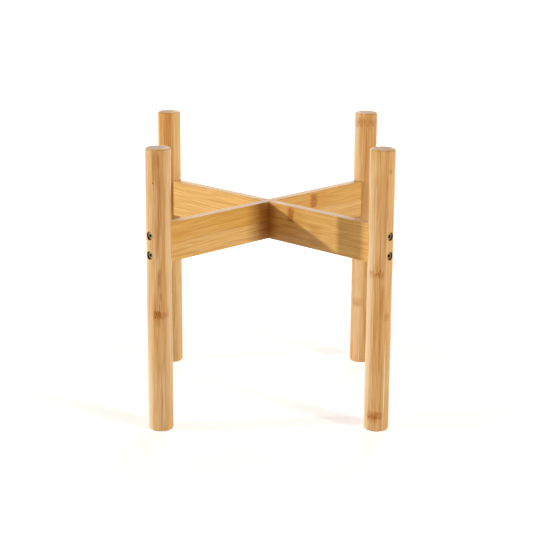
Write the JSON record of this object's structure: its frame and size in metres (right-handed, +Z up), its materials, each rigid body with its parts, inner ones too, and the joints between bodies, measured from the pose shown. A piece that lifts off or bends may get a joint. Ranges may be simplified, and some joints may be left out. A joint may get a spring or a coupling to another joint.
{
  "type": "plant stand",
  "caption": "Low bamboo plant stand: round legs bolted to the ends of flat rails that cross on edge in a halved joint and carry a pot between the leg tops.",
  "frame": {"origin": "on the floor, midway between the four legs", "axes": "+Z up along the legs, +X to the right and +Y to the back as the picture shows the stand; the rails run along the diagonals of X and Y"},
  "size_m": [0.2714, 0.2714, 0.322],
  "materials": {
    "leg_bamboo": "turned laminated bamboo, clear satin lacquer",
    "rail_bamboo": "planed laminated bamboo, clear satin lacquer",
    "bolt_steel": "bright zinc plated",
    "insert_brass": "turned brass"
  },
  "bodies": {
    "root": {"leg_front_left": "leg_bamboo", "leg_front_right": "leg_bamboo", "leg_back_left": "leg_bamboo", "leg_back_right": "leg_bamboo", "rail_slotted_below": "rail_bamboo", "rail_slotted_above": "rail_bamboo", "bolt_front_left_upper": "bolt_steel", "bolt_front_left_lower": "bolt_steel", "bolt_front_right_upper": "bolt_steel", "bolt_front_right_lower": "bolt_steel", "bolt_back_left_upper": "bolt_steel", "bolt_back_left_lower": "bolt_steel", "bolt_back_right_upper": "bolt_steel", "bolt_back_right_lower": "bolt_steel", "insert_front_left_upper": "insert_brass", "insert_front_left_lower": "insert_brass", "insert_front_right_upper": "insert_brass", "insert_front_right_lower": "insert_brass", "insert_back_left_upper": "insert_brass", "insert_back_left_lower": "insert_brass", "insert_back_right_upper": "insert_brass", "insert_back_right_lower": "insert_brass"}
  },
  "joints": []
}
